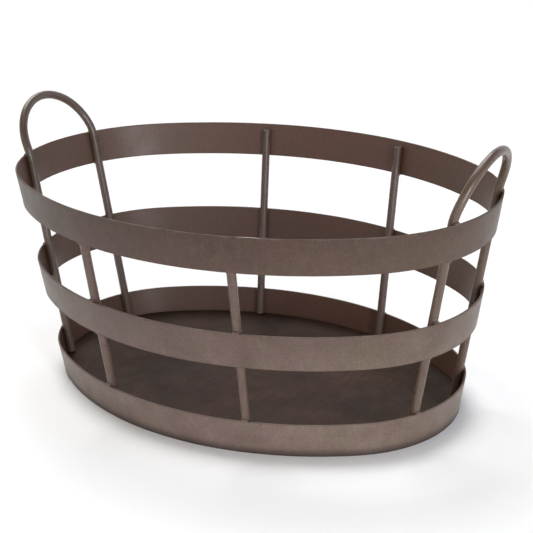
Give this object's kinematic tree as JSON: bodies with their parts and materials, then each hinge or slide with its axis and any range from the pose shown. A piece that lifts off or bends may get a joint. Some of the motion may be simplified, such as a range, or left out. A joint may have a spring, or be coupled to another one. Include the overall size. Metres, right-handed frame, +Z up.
{
  "type": "firewood log rack",
  "caption": "Oval steel log basket: tapered strip hoops welded round upright rods, a flat floor, and a bent-rod handle arch leaning outwards at each end.",
  "frame": {"origin": "centre of the footprint, on the surface that the lowest hoop stands on", "axes": "+X along the length towards the right-hand handle, +Y to the back, +Z up"},
  "size_m": [0.5748, 0.4098, 0.3098],
  "materials": {
    "coated_steel": "satin dark bronze coating",
    "coated_rod": "satin dark bronze coating",
    "floor_steel": "satin dark bronze coating, sooty",
    "weld_metal": "coated weld beads"
  },
  "bodies": {
    "root": {"top_hoop": "coated_steel", "middle_hoop": "coated_steel", "bottom_hoop": "coated_steel", "floor_pan": "floor_steel", "left_handle": "coated_rod", "right_handle": "coated_rod", "front_left_post": "coated_rod", "front_right_post": "coated_rod", "back_left_post": "coated_rod", "back_right_post": "coated_rod", "top_hoop_welds": "weld_metal", "middle_hoop_welds": "weld_metal", "bottom_hoop_welds": "weld_metal", "floor_welds": "weld_metal"}
  },
  "joints": []
}
